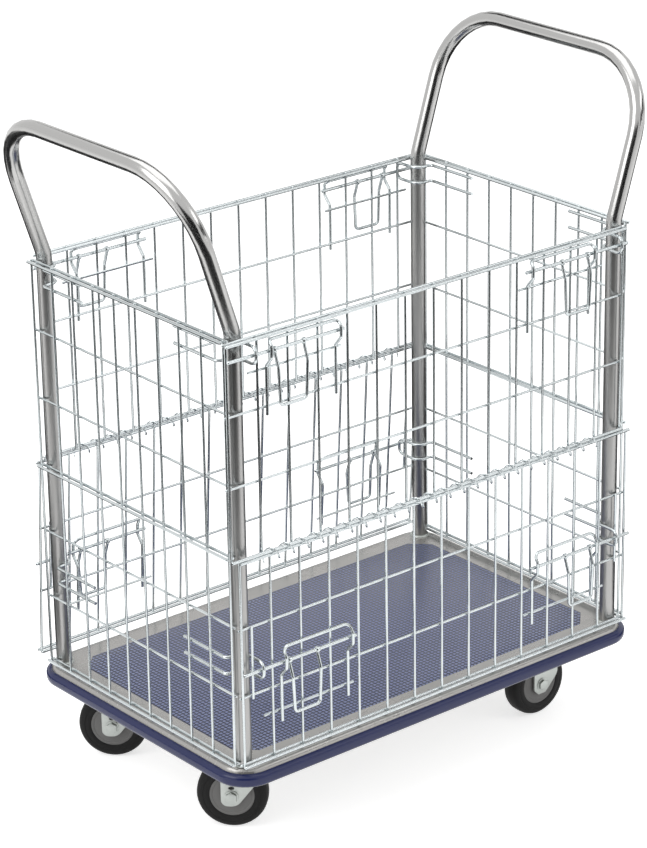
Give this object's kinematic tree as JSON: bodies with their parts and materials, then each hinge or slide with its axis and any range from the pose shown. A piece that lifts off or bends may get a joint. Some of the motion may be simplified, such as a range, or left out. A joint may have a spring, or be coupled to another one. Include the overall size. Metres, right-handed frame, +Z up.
{
  "type": "mesh cage trolley",
  "caption": "Platform trolley with a padded deck, bent tube handles, wire mesh ends and mesh sides that fold at a spiral hinge, on swivel and fixed casters.",
  "frame": {"origin": "on the floor, below the middle of the deck", "axes": "+Z up; +X along the deck's length, towards the end with the fixed casters; -Y towards the front long side"},
  "size_m": [0.8352, 0.495, 0.9856],
  "materials": {
    "grey_paint": "light warm grey paint, satin",
    "deck_rubber": "blue-grey mat with a fine embossed grain",
    "navy_vinyl": "glossy navy bumper strip",
    "tube_steel": "bright steel tube",
    "bright_wire": "bright zinc plated wire",
    "caster_zinc": "zinc plated pressed steel",
    "grey_plastic": "moulded grey plastic",
    "black_tyre": "black solid rubber"
  },
  "bodies": {
    "base": {"deck_plate": "grey_paint", "deck_mat": "deck_rubber", "bumper": "navy_vinyl", "caster_channels": "grey_paint", "post_cups": "tube_steel", "post_collars": "tube_steel", "post_plugs": "grey_plastic", "post_bolts": "caster_zinc", "left_handle": "tube_steel", "right_handle": "tube_steel", "left_end_panel": "bright_wire", "right_end_panel": "bright_wire", "left_keepers": "bright_wire", "right_keepers": "bright_wire", "front_spiral_hinge": "bright_wire", "back_spiral_hinge": "bright_wire", "swivel_plates": "caster_zinc", "front_left_king_pin": "caster_zinc", "back_left_king_pin": "caster_zinc", "front_right_bracket": "caster_zinc", "back_right_bracket": "caster_zinc", "fixed_axles": "caster_zinc", "plate_bolts": "caster_zinc"},
    "front_left_swivel": {"front_left_fork": "caster_zinc", "front_left_axle": "caster_zinc"},
    "front_left_wheel": {"front_left_tyre": "black_tyre", "front_left_hub": "grey_plastic"},
    "front_right_wheel": {"front_right_tyre": "black_tyre", "front_right_hub": "grey_plastic"},
    "back_left_swivel": {"back_left_fork": "caster_zinc", "back_left_axle": "caster_zinc"},
    "back_left_wheel": {"back_left_tyre": "black_tyre", "back_left_hub": "grey_plastic"},
    "back_right_wheel": {"back_right_tyre": "black_tyre", "back_right_hub": "grey_plastic"},
    "front_lower_half": {"front_lower_panel": "bright_wire", "front_lower_staples": "bright_wire"},
    "front_lower_left_latch_bolt": {"front_lower_left_bolt": "bright_wire"},
    "front_lower_left_latch_bail": {"front_lower_left_bail": "bright_wire"},
    "front_lower_right_latch_bolt": {"front_lower_right_bolt": "bright_wire"},
    "front_lower_right_latch_bail": {"front_lower_right_bail": "bright_wire"},
    "front_upper_half": {"front_upper_panel": "bright_wire", "front_upper_staples": "bright_wire"},
    "front_upper_left_latch_bolt": {"front_upper_left_bolt": "bright_wire"},
    "front_upper_left_latch_bail": {"front_upper_left_bail": "bright_wire"},
    "front_upper_right_latch_bolt": {"front_upper_right_bolt": "bright_wire"},
    "front_upper_right_latch_bail": {"front_upper_right_bail": "bright_wire"},
    "back_lower_half": {"back_lower_panel": "bright_wire", "back_lower_staples": "bright_wire"},
    "back_lower_left_latch_bolt": {"back_lower_left_bolt": "bright_wire"},
    "back_lower_left_latch_bail": {"back_lower_left_bail": "bright_wire"},
    "back_lower_right_latch_bolt": {"back_lower_right_bolt": "bright_wire"},
    "back_lower_right_latch_bail": {"back_lower_right_bail": "bright_wire"},
    "back_upper_half": {"back_upper_panel": "bright_wire", "back_upper_staples": "bright_wire"},
    "back_upper_left_latch_bolt": {"back_upper_left_bolt": "bright_wire"},
    "back_upper_left_latch_bail": {"back_upper_left_bail": "bright_wire"},
    "back_upper_right_latch_bolt": {"back_upper_right_bolt": "bright_wire"},
    "back_upper_right_latch_bail": {"back_upper_right_bail": "bright_wire"}
  },
  "joints": [
    {"name": "front_left_swivel_turn", "type": "hinge", "parent": "base", "child": "front_left_swivel", "pos_m": [-0.264, -0.139, 0.112], "axis": [0, 0, 1], "continuous": true},
    {"name": "front_left_wheel_roll", "type": "hinge", "parent": "front_left_swivel", "child": "front_left_wheel", "pos_m": [-0.28734, -0.11567, 0.05], "axis": [-0.7071, -0.7071, 0], "continuous": true},
    {"name": "front_right_wheel_roll", "type": "hinge", "parent": "base", "child": "front_right_wheel", "pos_m": [0.257, -0.139, 0.05], "axis": [0, 1, 0], "continuous": true},
    {"name": "back_left_swivel_turn", "type": "hinge", "parent": "base", "child": "back_left_swivel", "pos_m": [-0.264, 0.139, 0.112], "axis": [0, 0, 1], "continuous": true},
    {"name": "back_left_wheel_roll", "type": "hinge", "parent": "back_left_swivel", "child": "back_left_wheel", "pos_m": [-0.28734, 0.16234, 0.05], "axis": [-0.7071, -0.7071, 0], "continuous": true},
    {"name": "back_right_wheel_roll", "type": "hinge", "parent": "base", "child": "back_right_wheel", "pos_m": [0.257, 0.139, 0.05], "axis": [0, 1, 0], "continuous": true},
    {"name": "front_lower_half_fold", "type": "hinge", "parent": "base", "child": "front_lower_half", "pos_m": [0, -0.23044, 0.45005], "axis": [-1, 0, 0], "range_deg": [0, 150]},
    {"name": "front_lower_left_latch_bolt_draw", "type": "slide", "parent": "front_lower_half", "child": "front_lower_left_latch_bolt", "axis": [1, 0, 0], "range_m": [0, 0.052]},
    {"name": "front_lower_left_latch_bail_lift", "type": "hinge", "parent": "front_lower_left_latch_bolt", "child": "front_lower_left_latch_bail", "pos_m": [-0.252, -0.23292, 0.29], "axis": [-1, 0, 0], "range_deg": [0, 105]},
    {"name": "front_lower_right_latch_bolt_draw", "type": "slide", "parent": "front_lower_half", "child": "front_lower_right_latch_bolt", "axis": [-1, 0, 0], "range_m": [0, 0.052]},
    {"name": "front_lower_right_latch_bail_lift", "type": "hinge", "parent": "front_lower_right_latch_bolt", "child": "front_lower_right_latch_bail", "pos_m": [0.252, -0.23292, 0.29], "axis": [-1, 0, 0], "range_deg": [0, 105]},
    {"name": "front_upper_half_fold", "type": "hinge", "parent": "base", "child": "front_upper_half", "pos_m": [0, -0.23044, 0.45535], "axis": [1, 0, 0], "range_deg": [0, 160]},
    {"name": "front_upper_left_latch_bolt_draw", "type": "slide", "parent": "front_upper_half", "child": "front_upper_left_latch_bolt", "axis": [1, 0, 0], "range_m": [0, 0.052]},
    {"name": "front_upper_left_latch_bail_lift", "type": "hinge", "parent": "front_upper_left_latch_bolt", "child": "front_upper_left_latch_bail", "pos_m": [-0.265, -0.23292, 0.734], "axis": [-1, 0, 0], "range_deg": [0, 105]},
    {"name": "front_upper_right_latch_bolt_draw", "type": "slide", "parent": "front_upper_half", "child": "front_upper_right_latch_bolt", "axis": [-1, 0, 0], "range_m": [0, 0.052]},
    {"name": "front_upper_right_latch_bail_lift", "type": "hinge", "parent": "front_upper_right_latch_bolt", "child": "front_upper_right_latch_bail", "pos_m": [0.239, -0.23292, 0.734], "axis": [-1, 0, 0], "range_deg": [0, 105]},
    {"name": "back_lower_half_fold", "type": "hinge", "parent": "base", "child": "back_lower_half", "pos_m": [0, 0.23044, 0.45005], "axis": [1, 0, 0], "range_deg": [0, 146]},
    {"name": "back_lower_left_latch_bolt_draw", "type": "slide", "parent": "back_lower_half", "child": "back_lower_left_latch_bolt", "axis": [-1, 0, 0], "range_m": [0, 0.052]},
    {"name": "back_lower_left_latch_bail_lift", "type": "hinge", "parent": "back_lower_left_latch_bolt", "child": "back_lower_left_latch_bail", "pos_m": [0.252, 0.24352, 0.29052], "axis": [1, 0, 0], "range_deg": [0, 105]},
    {"name": "back_lower_right_latch_bolt_draw", "type": "slide", "parent": "back_lower_half", "child": "back_lower_right_latch_bolt", "axis": [1, 0, 0], "range_m": [0, 0.052]},
    {"name": "back_lower_right_latch_bail_lift", "type": "hinge", "parent": "back_lower_right_latch_bolt", "child": "back_lower_right_latch_bail", "pos_m": [-0.252, 0.24352, 0.29052], "axis": [1, 0, 0], "range_deg": [0, 105]},
    {"name": "back_upper_half_fold", "type": "hinge", "parent": "base", "child": "back_upper_half", "pos_m": [0, 0.23044, 0.45535], "axis": [-1, 0, 0], "range_deg": [0, 160]},
    {"name": "back_upper_left_latch_bolt_draw", "type": "slide", "parent": "back_upper_half", "child": "back_upper_left_latch_bolt", "axis": [-1, 0, 0], "range_m": [0, 0.052]},
    {"name": "back_upper_left_latch_bail_lift", "type": "hinge", "parent": "back_upper_left_latch_bolt", "child": "back_upper_left_latch_bail", "pos_m": [0.265, 0.23292, 0.734], "axis": [1, 0, 0], "range_deg": [0, 105]},
    {"name": "back_upper_right_latch_bolt_draw", "type": "slide", "parent": "back_upper_half", "child": "back_upper_right_latch_bolt", "axis": [1, 0, 0], "range_m": [0, 0.052]},
    {"name": "back_upper_right_latch_bail_lift", "type": "hinge", "parent": "back_upper_right_latch_bolt", "child": "back_upper_right_latch_bail", "pos_m": [-0.239, 0.23292, 0.734], "axis": [1, 0, 0], "range_deg": [0, 105]}
  ]
}
